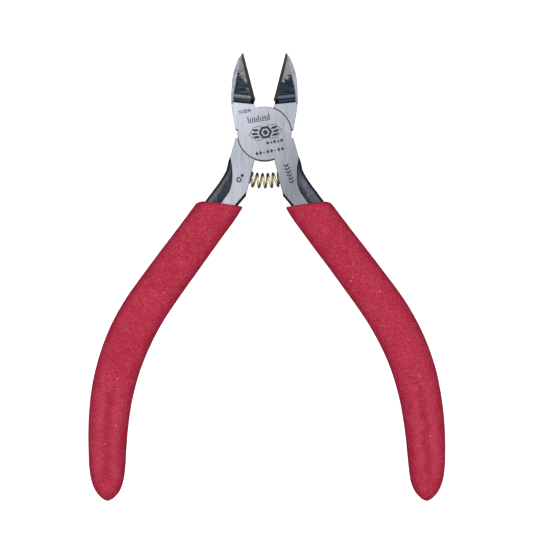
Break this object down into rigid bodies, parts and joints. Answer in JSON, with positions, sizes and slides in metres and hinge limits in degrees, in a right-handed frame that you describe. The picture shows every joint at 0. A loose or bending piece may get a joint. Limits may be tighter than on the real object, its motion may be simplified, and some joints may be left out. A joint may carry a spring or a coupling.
{
  "type": "sprue nippers",
  "caption": "Small spring-return side-cutting nippers with hollow-ground jaws, a riveted lap joint, a coil spring between the handles and dipped soft grips.",
  "frame": {"origin": "on the pivot axis, in the plane of the flat rear face of the head", "axes": "+Y from the pivot towards the cutting tips, midway between the two blades; +Z out of the front face of the head; +X to the right seen from the front. Stored relaxed: the spring holds the blades 28.8 degrees apart"},
  "size_m": [0.0875, 0.11, 0.0084],
  "materials": {
    "steel": "ground faces with fine lengthwise grain over darker forged tangs",
    "spring_brass": "bright drawn wire with a golden coating",
    "red_grip": "soft matte dipped vinyl, crimson"
  },
  "bodies": {
    "rear_half": {"rear_jaw_and_handle": "steel", "left_grip": "red_grip", "rear_spring_peg": "steel", "return_spring": "spring_brass"},
    "front_half": {"front_jaw_and_handle": "steel", "right_grip": "red_grip", "front_spring_peg": "steel", "pivot_rivet": "steel"}
  },
  "joints": [
    {"name": "pivot_hinge", "type": "hinge", "parent": "rear_half", "child": "front_half", "pos_m": [0, 0, 0.0032], "axis": [0, 0, -1], "range_deg": [-12, 28.6], "stiffness_Nm_per_rad": 0.9, "deforming": ["return_spring"]}
  ]
}
